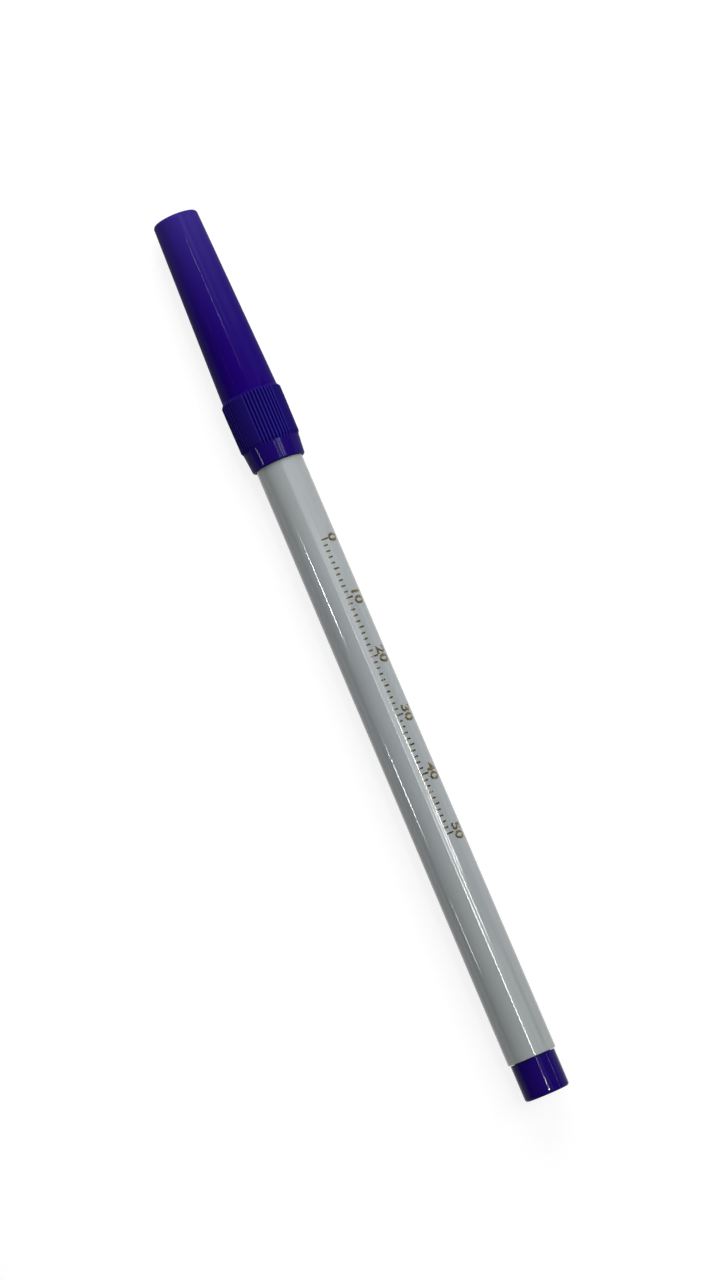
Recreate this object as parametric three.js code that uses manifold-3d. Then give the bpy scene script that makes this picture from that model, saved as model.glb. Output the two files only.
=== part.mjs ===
// Fabric marking pen, capped. Lengths are millimetres.
// The pen lies along X with its cap towards +X and rests on z = 0.
// Every piece is turned about its own +Y and placed along the pen by its station, which is
// measured from the rear end; the group at the end lays that axis along +X.
import * as THREE from "three";
import { mergeVertices } from "three/addons/utils/BufferGeometryUtils.js";
import Module from "manifold-3d";

const wasm = await Module();
wasm.setup();

// Clearances
const seat_gap = 0.1; // between faces that rest on each other
const fit_gap = 0.05; // radial, between a pressed piece and its bore
const cut_overrun = 0.5; // how far a cutter stands past the faces it opens

// Barrel: a moulded tube that tapers to a parallel neck under the cap
const barrel_length = 111.8;
const barrel_rear_radius = 4;
const barrel_neck_radius = 3.875;
const barrel_wall = 0.775;
const barrel_edge_radius = 0.3;

// Snap rings: a bead on the inner piece sits in a groove of the barrel's bore
const snap_height = 0.12;
const snap_width = 0.7;
const snap_slope = 0.25;

// End plug: a round head and a hollow spigot with air notches in its rim
const plug_head_length = 6.1;
const plug_head_radius = 3.69;
const plug_edge_radius = 0.45;
const plug_spigot_length = 8;
const plug_end_wall = 1.4;
const plug_spigot_wall = 0.7;
const plug_snap_place = 4.2; // from the head's shoulder to the middle of the bead
const plug_notch_count = 4;
const plug_notch_width = 1.2;
const plug_notch_depth = 1.5;

// Nib holder: spigot in the barrel, flange on its rim, seal collar and nose cone
const holder_spigot_length = 9;
const holder_snap_place = 5; // from the flange to the middle of the bead
const holder_flange_length = 1.2;
const holder_flange_inset = 0.075;
const collar_length = 3.2;
const collar_inset = 0.2; // the collar is this much slimmer than the barrel's bore
const nose_length = 5.8;
const nose_step = 0.7;
const nose_tip_wall = 0.6;
const holder_edge_radius = 0.2;
const vent_count = 4;
const vent_width = 0.5;
const vent_depth = 0.3;

// Nib: a fibre rod with a rounded point
const nib_radius = 1;
const nib_shoulder = 0.7; // full width that shows in front of the nose
const nib_point_length = 2.7;
const nib_tip_radius = 0.35;
const nib_tail_depth = 5; // how far the tail stands in the reservoir

// Reservoir: fibre bundle in a film, with a breather tube in a groove along it
const reservoir_air_gap = 0.3;
const film_thickness = 0.15;
const tube_radius = 0.45;
const tube_wall = 0.15;
const tube_inset = 0.05; // from the tube to the film

// Cap shell: skirt at the mouth, grip band, tapering shank, flat end
const cap_length = 42.8;
const cap_overlap = 10.8; // length of barrel that the cap covers
const cap_bore_gap = 0.1; // radial, between the cap's bore and the barrel's neck
const cap_wall = 0.65; // where the shank leaves the band
const cap_taper = 0.905; // radius lost from the band to the end
const cap_edge_radius = 0.55;
const cap_end_wall = 1.4;
const cap_tip_wall = 0.8;
const lip_wall = 0.465;
const lip_edge_radius = 0.3;
const skirt_length = 3.35;
const skirt_wall = 0.695;
const band_rise = 0.375; // how far the band stands out from the shank
const band_lower_rise = 0.305;
const band_lower_slope = 0.4;
const band_swell_length = 6; // from the lower edge to the full width
const band_length = 8.15;
const band_upper_slope = 0.5;

// Grip grooves: groups of fine V grooves with plain panels between
const groove_group_count = 4;
const grooves_per_group = 9;
const groove_pitch_angle = 6.75; // degrees
const groove_middle_angle = 15.75; // degrees, from the top of the lying pen to the first group's middle
const groove_width = 0.36;
const groove_depth = 0.17;

// Inner cap: a cup that seals on the nib holder's collar
const inner_cap_length = 18.1;
const inner_cap_wall = 0.35;
const inner_cap_end_wall = 0.6;
const inner_cap_flange_length = 0.8;

// Snap bead on the barrel's neck, which grips the cap's bore
const neck_bead_place = 3; // from the front rim to the middle of the bead
const neck_bead_width = 1;
const neck_bead_slope = 0.35;

// Roundness of the turned shapes
const round_segments = 48;
const arc_divisions = 2;
const full_turn = 360;

// Radii that follow from the sizes above
const barrel_bore_radius = barrel_neck_radius - barrel_wall;
const spigot_radius = barrel_bore_radius - fit_gap;
const plug_bore_radius = spigot_radius - plug_spigot_wall;
const collar_radius = barrel_bore_radius - collar_inset;
const nib_bore_radius = nib_radius + fit_gap;
const film_radius = barrel_bore_radius - reservoir_air_gap;
const film_bore_radius = film_radius - film_thickness;
const core_radius = film_bore_radius - fit_gap;
const tube_offset = film_bore_radius - tube_inset - tube_radius;
const cap_bore_radius = barrel_neck_radius + cap_bore_gap;
const shank_radius = cap_bore_radius + cap_wall;
const cap_end_radius = shank_radius - cap_taper;
const band_radius = shank_radius + band_rise;
const inner_cap_bore_radius = collar_radius + fit_gap;
const inner_cap_radius = inner_cap_bore_radius + inner_cap_wall;

// Stations along the pen, from its rear end
const barrel_start = plug_head_length + seat_gap;
const barrel_front = barrel_start + barrel_length;
const cap_mouth = barrel_front - cap_overlap;
const pen_length = cap_mouth + cap_length;
const flange_start = barrel_front + seat_gap;
const collar_start = flange_start + holder_flange_length;
const nose_start = collar_start + collar_length;
const nose_end = nose_start + nose_length;
const holder_rear = flange_start - holder_spigot_length;
const plug_front = plug_head_length + plug_spigot_length;
const reservoir_start = plug_front + seat_gap;
const reservoir_length = holder_rear - seat_gap - reservoir_start;
const nib_start = reservoir_start + reservoir_length - nib_tail_depth;
const nib_length = nose_end + nib_shoulder + nib_point_length - nib_start;
const inner_cap_start = collar_start + seat_gap;
const inner_cap_front = inner_cap_start + inner_cap_length;

const radians = THREE.MathUtils.degToRad;
const quarter_turn = Math.PI / 2;

const violet = new THREE.MeshStandardMaterial({ color: 0x241a66, roughness: 0.35, metalness: 0 });
const grey = new THREE.MeshStandardMaterial({ color: 0xa3aaac, roughness: 0.25, metalness: 0 });
const white = new THREE.MeshStandardMaterial({ color: 0xe9e9e4, roughness: 0.5, metalness: 0 });
const fibre = new THREE.MeshStandardMaterial({ color: 0x5a4fb0, roughness: 0.9, metalness: 0 });
const wick = new THREE.MeshStandardMaterial({ color: 0x4a3fa6, roughness: 0.95, metalness: 0 });
const film = new THREE.MeshStandardMaterial({ color: 0xdfe3ea, roughness: 0.2, metalness: 0 });
const tubing = new THREE.MeshStandardMaterial({ color: 0xf2f2ee, roughness: 0.4, metalness: 0 });

// A body turned about +Y from a path of (radius, height). The path runs so that the material
// lies on its left, from the axis to the axis or back to its own start.
function turned(path) {
  return new THREE.LatheGeometry(path.getPoints(arc_divisions), round_segments);
}

// The same geometry as a solid that can be cut.
function solid(geometry) {
  const bare = geometry.index ? geometry.toNonIndexed() : geometry.clone();
  bare.deleteAttribute("normal");
  bare.deleteAttribute("uv");
  const merged = mergeVertices(bare);
  return new wasm.Manifold(
    new wasm.Mesh({
      numProp: 3,
      vertProperties: merged.attributes.position.array,
      triVerts: new Uint32Array(merged.index.array),
    }),
  );
}

// The geometry left when every cutter has been taken out of a body.
function cut(geometry, cutters) {
  const left = cutters.reduce((body, cutter) => body.subtract(solid(cutter)), solid(geometry));
  const mesh = left.getMesh();
  const result = new THREE.BufferGeometry();
  result.setAttribute("position", new THREE.BufferAttribute(new Float32Array(mesh.vertProperties), 3));
  result.setIndex(new THREE.BufferAttribute(new Uint32Array(mesh.triVerts), 1));
  const faceted = result.toNonIndexed();
  faceted.computeVertexNormals();
  return faceted;
}

// A block that stands on height `start`, its middle at `distance` from the axis in the direction
// of `angle`, which is measured from +Z towards +X.
function block(width, length, thickness, distance, start, angle) {
  const box = new THREE.BoxGeometry(width, length, thickness);
  box.translate(0, start + length / 2, distance);
  box.rotateY(radians(angle));
  return box;
}

// Adds a ring round the path at height `middle`: `rise` is positive for a bead on an outer wall
// or a groove in a bore. `upward` says which way the path is going.
function ring(path, radius, middle, width, slope, rise, upward) {
  const way = upward ? 1 : -1;
  path.lineTo(radius, middle - (way * width) / 2);
  path.lineTo(radius + rise, middle - way * (width / 2 - slope));
  path.lineTo(radius + rise, middle + way * (width / 2 - slope));
  path.lineTo(radius, middle + (way * width) / 2);
}

function piece(name, geometry, material, station) {
  const mesh = new THREE.Mesh(geometry, material);
  mesh.name = name;
  mesh.position.y = station;
  return mesh;
}

function endPlug() {
  const shoulder = plug_head_length;
  const path = new THREE.Path();
  path.moveTo(0, 0);
  path.lineTo(plug_head_radius - plug_edge_radius, 0);
  path.absarc(
    plug_head_radius - plug_edge_radius,
    plug_edge_radius,
    plug_edge_radius,
    -quarter_turn,
    0,
    false,
  );
  path.lineTo(plug_head_radius, shoulder);
  path.lineTo(spigot_radius, shoulder);
  ring(path, spigot_radius, shoulder + plug_snap_place, snap_width, snap_slope, snap_height, true);
  path.lineTo(spigot_radius, plug_front);
  path.lineTo(plug_bore_radius, plug_front);
  path.lineTo(plug_bore_radius, plug_end_wall);
  path.lineTo(0, plug_end_wall);
  const notches = [];
  for (let i = 0; i < plug_notch_count; i += 1) {
    const length = plug_notch_depth + cut_overrun;
    const thickness = plug_spigot_wall + cut_overrun;
    const distance = plug_bore_radius + plug_spigot_wall / 2;
    const angle = (full_turn / plug_notch_count) * i;
    notches.push(block(plug_notch_width, length, thickness, distance, plug_front - plug_notch_depth, angle));
  }
  return piece("end_plug", cut(turned(path), notches), violet, 0);
}

function barrel() {
  const bore = barrel_bore_radius;
  const edge = barrel_edge_radius;
  const mouth = barrel_length - cap_overlap;
  const bead = cap_bore_radius - fit_gap - barrel_neck_radius;
  const path = new THREE.Path();
  path.moveTo(bore, 0);
  path.lineTo(barrel_rear_radius - edge, 0);
  path.absarc(barrel_rear_radius - edge, edge, edge, -quarter_turn, 0, false);
  path.lineTo(barrel_neck_radius, mouth);
  const bead_middle = barrel_length - neck_bead_place;
  ring(path, barrel_neck_radius, bead_middle, neck_bead_width, neck_bead_slope, bead, true);
  path.absarc(barrel_neck_radius - edge, barrel_length - edge, edge, 0, quarter_turn, false);
  path.lineTo(bore, barrel_length);
  const groove_width = snap_width + seat_gap * 2;
  const front_groove = barrel_length + seat_gap - holder_snap_place;
  const rear_groove = plug_snap_place - seat_gap;
  ring(path, bore, front_groove, groove_width, snap_slope, snap_height, false);
  ring(path, bore, rear_groove, groove_width, snap_slope, snap_height, false);
  path.lineTo(bore, 0);
  return piece("barrel", turned(path), grey, barrel_start);
}

function nibHolder() {
  const edge = holder_edge_radius;
  const flange = flange_start - holder_rear;
  const flange_radius = barrel_neck_radius - holder_flange_inset;
  const collar = collar_start - holder_rear;
  const nose = nose_start - holder_rear;
  const tip = nose_end - holder_rear;
  const tip_radius = nib_bore_radius + nose_tip_wall;
  const path = new THREE.Path();
  path.moveTo(nib_bore_radius, 0);
  path.lineTo(spigot_radius - edge, 0);
  path.lineTo(spigot_radius, edge);
  ring(path, spigot_radius, flange - holder_snap_place, snap_width, snap_slope, snap_height, true);
  path.lineTo(spigot_radius, flange);
  path.lineTo(flange_radius, flange);
  path.lineTo(flange_radius, collar - edge);
  path.lineTo(flange_radius - edge, collar);
  path.lineTo(collar_radius, collar);
  path.lineTo(collar_radius, nose - edge);
  path.absarc(collar_radius - edge, nose - edge, edge, 0, quarter_turn, false);
  path.lineTo(collar_radius - nose_step, nose);
  path.lineTo(tip_radius, tip - edge);
  path.lineTo(tip_radius - edge, tip);
  path.lineTo(nib_bore_radius, tip);
  path.lineTo(nib_bore_radius, 0);
  const vents = [];
  for (let i = 0; i < vent_count; i += 1) {
    const length = tip + cut_overrun * 2;
    const thickness = nib_radius + vent_depth;
    const distance = nib_bore_radius + vent_depth - thickness / 2;
    vents.push(block(vent_width, length, thickness, distance, -cut_overrun, (full_turn / vent_count) * i));
  }
  return piece("nib_holder", cut(turned(path), vents), white, holder_rear);
}

function nib() {
  const tip_middle = nib_length - nib_tip_radius;
  const path = new THREE.Path();
  path.moveTo(0, 0);
  path.lineTo(nib_radius, 0);
  path.lineTo(nib_radius, nib_length - nib_point_length);
  path.lineTo(nib_tip_radius, tip_middle);
  path.absarc(0, tip_middle, nib_tip_radius, 0, quarter_turn, false);
  return piece("nib", turned(path), fibre, nib_start);
}

// The bundle's section: a circle with a round-bottomed groove that holds the breather tube.
function inkReservoir() {
  const groove = tube_radius + fit_gap;
  const opening = Math.asin(groove / core_radius);
  const section = new THREE.Shape();
  section.absarc(0, 0, core_radius, opening, Math.PI * 2 - opening, false);
  section.absarc(tube_offset, 0, groove, -quarter_turn, quarter_turn, true);
  const bundle = new THREE.ExtrudeGeometry(section, {
    depth: reservoir_length,
    bevelEnabled: false,
    curveSegments: round_segments,
  });
  bundle.rotateX(-quarter_turn);
  const pocket_depth = nib_tail_depth + seat_gap;
  const pocket_length = pocket_depth + cut_overrun;
  const pocket = new THREE.CylinderGeometry(nib_bore_radius, nib_bore_radius, pocket_length, round_segments);
  pocket.translate(0, reservoir_length - pocket_depth + pocket_length / 2, 0);
  return piece("ink_reservoir", cut(bundle, [pocket]), wick, reservoir_start);
}

function reservoirFilm() {
  const path = new THREE.Path();
  path.moveTo(film_bore_radius, 0);
  path.lineTo(film_radius, 0);
  path.lineTo(film_radius, reservoir_length);
  path.lineTo(film_bore_radius, reservoir_length);
  path.lineTo(film_bore_radius, 0);
  return piece("reservoir_film", turned(path), film, reservoir_start);
}

function breatherTube() {
  const bore = tube_radius - tube_wall;
  const path = new THREE.Path();
  path.moveTo(bore, 0);
  path.lineTo(tube_radius, 0);
  path.lineTo(tube_radius, reservoir_length);
  path.lineTo(bore, reservoir_length);
  path.lineTo(bore, 0);
  const tube = piece("breather_tube", turned(path), tubing, reservoir_start);
  tube.position.x = tube_offset;
  return tube;
}

function innerCap() {
  const flange_radius = cap_bore_radius - fit_gap;
  const bore_end = inner_cap_length - inner_cap_end_wall;
  const path = new THREE.Path();
  path.moveTo(0, bore_end);
  path.lineTo(inner_cap_bore_radius, bore_end);
  path.lineTo(inner_cap_bore_radius, 0);
  path.lineTo(flange_radius, 0);
  path.lineTo(flange_radius, inner_cap_flange_length);
  path.lineTo(inner_cap_radius, inner_cap_flange_length);
  path.lineTo(inner_cap_radius, inner_cap_length);
  path.lineTo(0, inner_cap_length);
  return piece("inner_cap", turned(path), white, inner_cap_start);
}

// One cutter for each groove, a wedge whose edge lies at the groove's bottom.
function grooveCutters() {
  const reach = groove_depth + cut_overrun;
  const half_width = ((groove_width / 2) * reach) / groove_depth;
  const wedge = new THREE.Shape();
  wedge.moveTo(0, band_radius - groove_depth);
  wedge.lineTo(half_width, band_radius + cut_overrun);
  wedge.lineTo(-half_width, band_radius + cut_overrun);
  wedge.closePath();
  const length = band_length + cut_overrun * 2;
  const cutters = [];
  for (let group = 0; group < groove_group_count; group += 1) {
    const middle = groove_middle_angle + (full_turn / groove_group_count) * group;
    for (let i = 0; i < grooves_per_group; i += 1) {
      const cutter = new THREE.ExtrudeGeometry(wedge, { depth: length, bevelEnabled: false });
      cutter.rotateX(quarter_turn);
      cutter.translate(0, skirt_length + length - cut_overrun, 0);
      cutter.rotateY(radians(middle + groove_pitch_angle * (i - (grooves_per_group - 1) / 2)));
      cutters.push(cutter);
    }
  }
  return cutters;
}

function capShell() {
  const lip_radius = cap_bore_radius + lip_wall;
  const skirt_radius = cap_bore_radius + skirt_wall;
  const band_end = skirt_length + band_length;
  const shank_start = band_end + band_upper_slope;
  const step = inner_cap_start + inner_cap_flange_length + seat_gap - cap_mouth;
  const seat_end = inner_cap_front + seat_gap - cap_mouth;
  const seat_radius = inner_cap_radius + fit_gap;
  const tip_bore_radius = cap_end_radius - cap_tip_wall;
  const path = new THREE.Path();
  path.moveTo(0, cap_length - cap_end_wall);
  path.lineTo(tip_bore_radius, cap_length - cap_end_wall);
  path.lineTo(tip_bore_radius, seat_end);
  path.lineTo(seat_radius, seat_end);
  path.lineTo(seat_radius, step);
  path.lineTo(cap_bore_radius, step);
  path.lineTo(cap_bore_radius, 0);
  path.lineTo(lip_radius - lip_edge_radius, 0);
  path.absarc(lip_radius - lip_edge_radius, lip_edge_radius, lip_edge_radius, -quarter_turn, 0, false);
  path.lineTo(skirt_radius, skirt_length);
  path.lineTo(shank_radius + band_lower_rise, skirt_length + band_lower_slope);
  path.lineTo(band_radius, skirt_length + band_swell_length);
  path.lineTo(band_radius, band_end);
  path.lineTo(shank_radius, shank_start);
  path.lineTo(cap_end_radius, cap_length - cap_edge_radius);
  path.absarc(
    cap_end_radius - cap_edge_radius,
    cap_length - cap_edge_radius,
    cap_edge_radius,
    0,
    quarter_turn,
    false,
  );
  path.lineTo(0, cap_length);
  return piece("cap_shell", cut(turned(path), grooveCutters()), violet, cap_mouth);
}

// The pen body and the cap, the two groups that part when the cap is pulled off.
const body = new THREE.Group();
body.add(endPlug(), barrel(), nibHolder(), nib(), inkReservoir(), reservoirFilm(), breatherTube());
const cap = new THREE.Group();
cap.add(capShell(), innerCap());

const pen = new THREE.Group();
pen.add(body, cap);
pen.rotation.z = -quarter_turn;
pen.position.set(-pen_length / 2, 0, band_radius);

const part = new THREE.Group();
part.add(pen);

export default part;
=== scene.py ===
import math

import bmesh
import bpy
from mathutils import Matrix, Vector


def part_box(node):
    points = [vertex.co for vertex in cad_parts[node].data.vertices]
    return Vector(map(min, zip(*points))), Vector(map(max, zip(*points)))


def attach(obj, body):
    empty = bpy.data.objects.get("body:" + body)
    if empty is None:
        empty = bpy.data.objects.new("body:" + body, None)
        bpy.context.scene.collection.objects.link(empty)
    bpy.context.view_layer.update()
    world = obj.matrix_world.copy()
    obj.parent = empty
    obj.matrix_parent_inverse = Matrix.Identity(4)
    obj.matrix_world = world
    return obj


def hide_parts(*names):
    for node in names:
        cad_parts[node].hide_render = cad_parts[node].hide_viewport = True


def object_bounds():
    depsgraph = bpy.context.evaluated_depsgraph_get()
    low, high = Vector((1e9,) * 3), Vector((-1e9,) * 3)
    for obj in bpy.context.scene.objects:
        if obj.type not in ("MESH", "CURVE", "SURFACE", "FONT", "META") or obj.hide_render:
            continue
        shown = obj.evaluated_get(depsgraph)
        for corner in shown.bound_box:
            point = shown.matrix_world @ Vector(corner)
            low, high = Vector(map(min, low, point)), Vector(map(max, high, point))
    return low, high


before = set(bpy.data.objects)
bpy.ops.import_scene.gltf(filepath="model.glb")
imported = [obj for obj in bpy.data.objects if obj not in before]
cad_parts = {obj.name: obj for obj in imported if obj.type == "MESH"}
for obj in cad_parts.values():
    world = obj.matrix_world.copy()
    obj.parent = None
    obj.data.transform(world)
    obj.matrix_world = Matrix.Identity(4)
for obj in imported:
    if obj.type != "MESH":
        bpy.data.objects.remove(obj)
cad_low, cad_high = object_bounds()


# Camera. It stands almost straight above the pen, a little towards the rear end, leans a few
# degrees towards the cap and is turned, so that the pen crosses the picture from the upper left.
mm = 0.001
picture_height_pixels = 1280
focal_length_pixels = 3674
sensor_millimetres = 36
camera_place = Vector((-52.35 * mm, -0.82 * mm, 579.7 * mm))
camera_lean = math.radians(5.377)
camera_turn = math.radians(-23.015)


def new_object(name, data):
    """Puts a camera, a lamp, a mesh or a text in the scene, at the origin."""
    made = bpy.data.objects.new(name, data)
    bpy.context.scene.collection.objects.link(made)
    return made


look = Vector((math.sin(camera_lean), 0, -1)).normalized()
picture_right = look.cross(Vector((math.cos(camera_turn), math.sin(camera_turn), 0))).normalized()
picture_up = picture_right.cross(look)
camera_data = bpy.data.cameras.new("camera")
camera_data.sensor_width = sensor_millimetres
camera_data.lens = sensor_millimetres * focal_length_pixels / picture_height_pixels
camera = new_object("camera", camera_data)
camera.matrix_world = Matrix((picture_right, picture_up, -look)).transposed().to_4x4()
camera.location = camera_place
bpy.context.scene.camera = camera
bpy.context.scene.view_settings.view_transform = "Standard"


# Surface under the pen. A plain white sheet that shows white to the camera and in reflections,
# and still takes a soft pale shadow from the lamps.
floor_size = 10.0
floor_glow = 0.84
floor_paint = 0.26


def link(tree, source, target):
    """Joins an output to an input, or gives the input a plain value."""
    if isinstance(source, bpy.types.NodeSocket):
        tree.links.new(source, target)
    else:
        target.default_value = source


def calc(tree, operation, *terms, clamp=False):
    """A Math node whose terms are numbers or other nodes' outputs."""
    made = tree.nodes.new("ShaderNodeMath")
    made.operation = operation
    made.use_clamp = clamp
    for socket, term in zip(made.inputs, terms):
        link(tree, term, socket)
    return made.outputs["Value"]


def new_material(name):
    """An empty material and its node tree."""
    material = bpy.data.materials.new(name)
    material.use_nodes = True
    material.node_tree.nodes.clear()
    return material, material.node_tree


def seen_ray(tree):
    """1 for rays from the camera, from a glossy surface or through a clear one."""
    path = tree.nodes.new("ShaderNodeLightPath").outputs
    direct = calc(tree, "ADD", path["Is Camera Ray"], path["Is Glossy Ray"])
    return calc(tree, "ADD", direct, path["Is Transmission Ray"], clamp=True)


sheet_white, tree = new_material("white_sheet")
paint = tree.nodes.new("ShaderNodeBsdfDiffuse")
paint.inputs["Color"].default_value = (floor_paint, floor_paint, floor_paint, 1)
glow = tree.nodes.new("ShaderNodeEmission")
link(tree, calc(tree, "MULTIPLY", seen_ray(tree), floor_glow), glow.inputs["Strength"])
both = tree.nodes.new("ShaderNodeAddShader")
link(tree, paint.outputs[0], both.inputs[0])
link(tree, glow.outputs[0], both.inputs[1])
out = tree.nodes.new("ShaderNodeOutputMaterial")
link(tree, both.outputs[0], out.inputs["Surface"])

floor_mesh = bpy.data.meshes.new("floor")
half = floor_size / 2
corners = [(-half, -half, 0), (half, -half, 0), (half, half, 0), (-half, half, 0)]
floor_mesh.from_pydata(corners, [], [(0, 1, 2, 3)])
floor_mesh.materials.append(sheet_white)
floor = new_object("floor", floor_mesh)


# Room. The walls are pale near the horizon and the ceiling is dark, as it is round a table that
# is lit by a few separate lamps.
wall_radiance = 0.35
ceiling_radiance = 0.05
wall_top = math.sin(math.radians(3))
ceiling_start = math.sin(math.radians(10))


def coordinates(tree, kind="Object"):
    """The X, Y and Z of a point on a piece, or of a direction in the room if kind is Generated."""
    parts = tree.nodes.new("ShaderNodeSeparateXYZ")
    link(tree, tree.nodes.new("ShaderNodeTexCoord").outputs[kind], parts.inputs[0])
    return parts.outputs


def ramp(tree, value, low, high, to_low=0.0, to_high=1.0):
    """The value's way from low to high, smoothly, as a number from to_low to to_high."""
    fade = tree.nodes.new("ShaderNodeMapRange")
    fade.interpolation_type = "SMOOTHSTEP"
    labels = "Value", "From Min", "From Max", "To Min", "To Max"
    for label, term in zip(labels, (value, low, high, to_low, to_high)):
        link(tree, term, fade.inputs[label])
    return fade.outputs["Result"]


world = bpy.data.worlds.new("room")
world.use_nodes = True
tree = world.node_tree
tree.nodes.clear()
upwards = coordinates(tree, "Generated")["Z"]
radiance = ramp(tree, upwards, wall_top, ceiling_start, wall_radiance, ceiling_radiance)
background = tree.nodes.new("ShaderNodeBackground")
link(tree, radiance, background.inputs["Strength"])
out = tree.nodes.new("ShaderNodeOutputWorld")
link(tree, background.outputs[0], out.inputs["Surface"])
bpy.context.scene.world = world


# Soft lamps. Two large ones stand beyond the pen's ends, a little to its right, where the glossy
# barrel doesn't mirror them; the stronger one is on the cap's side.
axis_height = (cad_low.z + cad_high.z) / 2
axis_middle = Vector((0, 0, axis_height))
soft_lamp_share = 0.8


def add_lamp(name, place, length, width, radiance, colour):
    """A rectangular lamp that shines down with an even radiance. The renderer takes a lamp's energy
    to be four times its radiance for each square metre."""
    data = bpy.data.lights.new(name, "AREA")
    data.shape = "RECTANGLE"
    data.size = length
    data.size_y = width
    data.energy = 4 * radiance * length * width
    data.color = colour
    lamp = new_object(name, data)
    lamp.location = place
    lamp.visible_camera = False
    return lamp


def add_soft_lamp(name, distance, along, aside, level):
    """Stands `along` degrees from straight above towards the cap and `aside` degrees to the right,
    and lights a surface that faces it to `level`, where 1 shows a colour as it is written."""
    along, aside = math.radians(along), math.radians(aside)
    right, up = math.cos(along) * math.sin(aside), math.cos(along) * math.cos(aside)
    way = Vector((math.sin(along), -right, up))
    side = distance * soft_lamp_share
    radiance = level * math.pi / soft_lamp_share**2
    lamp = add_lamp(name, axis_middle + way * distance, side, side, radiance, (1, 1, 1))
    lamp.rotation_mode = "QUATERNION"
    lamp.rotation_quaternion = (-way).to_track_quat("-Z", "Y")


add_soft_lamp("cap_side_lamp", distance=0.36, along=49, aside=25, level=0.53)
add_soft_lamp("rear_side_lamp", distance=0.3, along=-55, aside=25, level=0.095)


# Ceiling lamps. Pale panels and narrow tubes run along the pen, and the glossy plastic mirrors
# each as a patch or a line, between two stations and two angles round from the pen's top.
ceiling_distance = 0.9


def mirrored_place(station):
    """Where along the pen a ceiling lamp stands that the camera sees mirrored at a station."""
    return station + ceiling_distance * (station - camera_place.x) / (camera_place.z - axis_height)


def add_tube(name, stations, angles, radiance, colour=(1, 1, 1)):
    """A lamp that the pen mirrors between two stations in millimetres and two angles in degrees."""
    ends = [mirrored_place(station * mm) for station in stations]
    aside = math.radians(sum(angles))
    width = 2 * math.radians(abs(angles[1] - angles[0])) * ceiling_distance
    middle = Vector((sum(ends) / 2, 0, axis_height))
    place = middle + Vector((0, -math.sin(aside), math.cos(aside))) * ceiling_distance
    lamp = add_lamp(name, place, abs(ends[1] - ends[0]), width, radiance, colour)
    lamp.rotation_euler = (aside, 0, 0)


warm = (1.0, 0.98, 0.88)
cool = (0.92, 0.96, 1.0)
add_tube("panel_rear", (-36, 22), (6.4, 23), 2.2, cool)
add_tube("panel_cap", (22, 42), (5, 24), 1.6, cool)
add_tube("panel_cap_side", (12, 42), (24, 43), 1.1, cool)
add_tube("panel_shank_start", (63, 73), (5, 25), 0.55, cool)
add_tube("panel_shank_start_side", (63, 73), (25, 44), 1.3, cool)
add_tube("panel_shank", (73, 97), (5, 25), 1.0, cool)
add_tube("panel_shank_side", (73, 97), (25, 44), 2.0, cool)
add_tube("panel_end", (-76, -36), (7, 18), 1.3, cool)
add_tube("panel_end_side", (-69, -50), (18, 34), 0.8, cool)
add_tube("tube_first", (-71, -39), (7.0, 8.8), 20, warm)
add_tube("tube_first_faint", (-39, -28), (6.8, 8.2), 9, cool)
add_tube("tube_first_front", (-28, 8), (6.7, 8.0), 4.5, cool)
add_tube("tube_first_cap", (75, 92), (4.9, 6.1), 27, cool)
add_tube("tube_first_cap_faint", (70, 75), (4.9, 6.1), 9, cool)
add_tube("tube_first_plug_end", (-75.2, -74.2), (6.9, 8.1), 800, warm)
add_tube("tube_first_plug", (-74.2, -72.6), (6.9, 8.1), 150, warm)
add_tube("tube_second", (-48, -26), (13.9, 15.4), 20, warm)
add_tube("tube_third", (-37, -11), (18.6, 20.1), 20, warm)
add_tube("tube_right_plug", (-76, -69), (36.2, 37.8), 9, cool)
add_tube("tube_left_front", (4.5, 18), (-23.6, -22), 34)
add_tube("tube_left_middle", (-27, -16.5), (-31.6, -30.1), 30)
add_tube("tube_left_middle_faint", (-31.5, -27), (-31.6, -30.1), 6)
add_tube("tube_left_rear", (-52, -43), (-34.4, -33.2), 14)


# Ink reservoir, its film and the breather tube. A bundle of polyester fibre soaked with ink, in a
# clear wrapping film, with a fine tube in a groove along it; it slides loose into the barrel.
wick_colour = (0.10, 0.06, 0.40)
wick_dry_colour = (0.34, 0.30, 0.62)
wick_roughness = 0.85
wick_soaked_range = (0.35, 0.6)
wick_dry_range = (0.4, 0.65)
fibres_per_metre = 9000.0
fibre_patches_per_metre = 260.0
fibre_relief = 0.03 * mm
film_colour = (0.75, 0.78, 0.82)
film_roughness = (0.12, 0.3)
film_clearness = 0.85
film_refraction = 1.5
film_creases_per_metre = 1500.0
film_crease_range = (0.3, 0.7)
film_crease_relief = 0.02 * mm
breather_colour = (0.85, 0.85, 0.83)
breather_dull_colour = (0.78, 0.78, 0.77)
breather_roughness = 0.4
draw_lines_per_metre = 7000.0
draw_line_relief = 0.004 * mm


def shader_group(name, inputs, outputs):
    """An empty shader node group with number inputs and their standard values."""
    group = bpy.data.node_groups.new(name, "ShaderNodeTree")
    kind = "NodeSocketFloat"
    for label, value in inputs.items():
        socket = group.interface.new_socket(name=label, in_out="INPUT", socket_type=kind)
        socket.default_value = value
    for label in outputs:
        group.interface.new_socket(name=label, in_out="OUTPUT", socket_type=kind)
    entry = group.nodes.new("NodeGroupInput")
    leave = group.nodes.new("NodeGroupOutput")
    return group, entry.outputs, leave.inputs


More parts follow.
